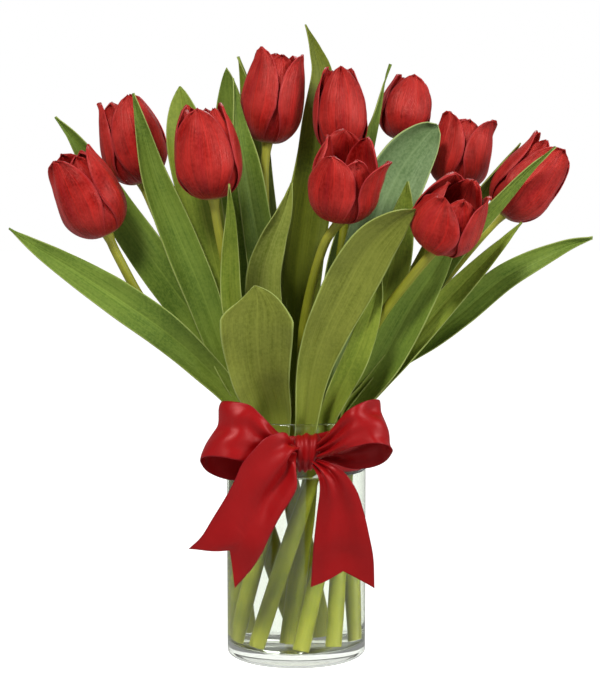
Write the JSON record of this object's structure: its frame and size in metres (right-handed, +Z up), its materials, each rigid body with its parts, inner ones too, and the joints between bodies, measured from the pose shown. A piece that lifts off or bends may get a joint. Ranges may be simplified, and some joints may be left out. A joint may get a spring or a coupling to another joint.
{
  "type": "tulip bouquet in a vase",
  "caption": "Red tulips with long green leaves standing in a clear glass cylinder vase of water, tied at the rim with a wide satin ribbon bow.",
  "frame": {"origin": "centre of the vase's flat underside", "axes": "+Z up along the vase, -Y towards the front of the bow, +X to the right as the bow is faced"},
  "size_m": [0.4099, 0.1911, 0.4542],
  "materials": {
    "glass": "gloss",
    "water": "gloss",
    "stem": "satin",
    "leaf": "satin",
    "petal": "satin",
    "satin": "satin"
  },
  "bodies": {
    "root": {"vase": "glass", "water": "water", "stem_1": "stem", "stem_2": "stem", "stem_3": "stem", "stem_4": "stem", "stem_5": "stem", "stem_6": "stem", "stem_7": "stem", "stem_8": "stem", "stem_9": "stem", "stem_10": "stem", "blossom_1": "petal", "blossom_2": "petal", "blossom_3": "petal", "blossom_4": "petal", "blossom_5": "petal", "blossom_7": "petal", "blossom_8": "petal", "blossom_10": "petal", "blossom_6_petal_1": "petal", "blossom_6_petal_2": "petal", "blossom_6_petal_3": "petal", "blossom_6_petal_4": "petal", "blossom_6_petal_5": "petal", "blossom_6_petal_6": "petal", "blossom_9_petal_1": "petal", "blossom_9_petal_2": "petal", "blossom_9_petal_3": "petal", "blossom_9_petal_4": "petal", "blossom_9_petal_5": "petal", "blossom_9_petal_6": "petal", "leaf_1": "leaf", "leaf_2": "leaf", "leaf_3": "leaf", "leaf_4": "leaf", "leaf_5": "leaf", "leaf_6": "leaf", "leaf_7": "leaf", "leaf_8": "leaf", "leaf_9": "leaf", "leaf_10": "leaf", "leaf_11": "leaf", "leaf_12": "leaf", "leaf_13": "leaf", "leaf_14": "leaf", "leaf_15": "leaf", "leaf_16": "leaf", "leaf_17": "leaf", "leaf_18": "leaf", "leaf_19": "leaf", "leaf_20": "leaf", "leaf_21": "leaf", "leaf_22": "leaf", "ribbon_band": "satin", "ribbon_knot": "satin", "ribbon_loop_left": "satin", "ribbon_loop_right": "satin", "ribbon_tail_left": "satin", "ribbon_tail_right": "satin"}
  },
  "joints": []
}
